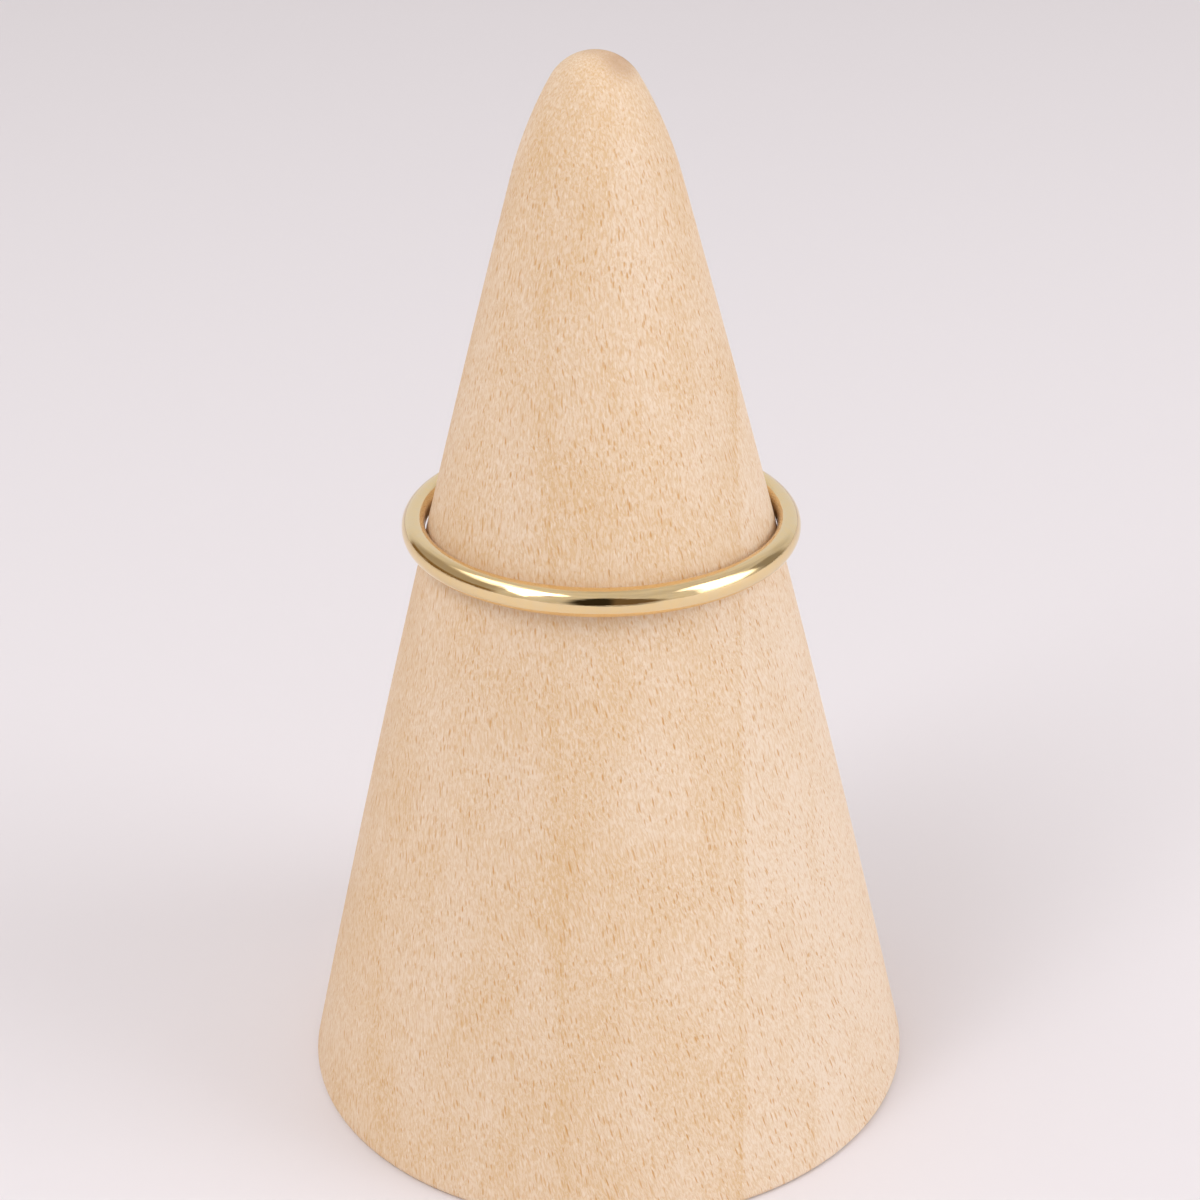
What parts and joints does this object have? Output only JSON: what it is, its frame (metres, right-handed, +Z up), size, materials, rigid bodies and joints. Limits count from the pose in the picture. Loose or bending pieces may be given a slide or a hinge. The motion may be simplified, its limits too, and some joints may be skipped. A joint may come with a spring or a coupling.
{
  "type": "plain stacking ring on a wooden ring cone",
  "caption": "Thin plain gold band with a domed outside and softly rounded inside, resting low on a turned pale wooden ring cone with a round tip.",
  "frame": {"origin": "middle of the cone's flat foot, on the surface it stands on", "axes": "+Z up along the cone's axis, +Y away from the viewer of the front, +X to the viewer's right"},
  "size_m": [0.0314, 0.0314, 0.0535],
  "materials": {
    "gold": "high polish yellow gold",
    "wood": "fine sanded, unvarnished pale hardwood"
  },
  "bodies": {
    "root": {"ring_band": "gold", "stand_cone": "wood"}
  },
  "joints": []
}
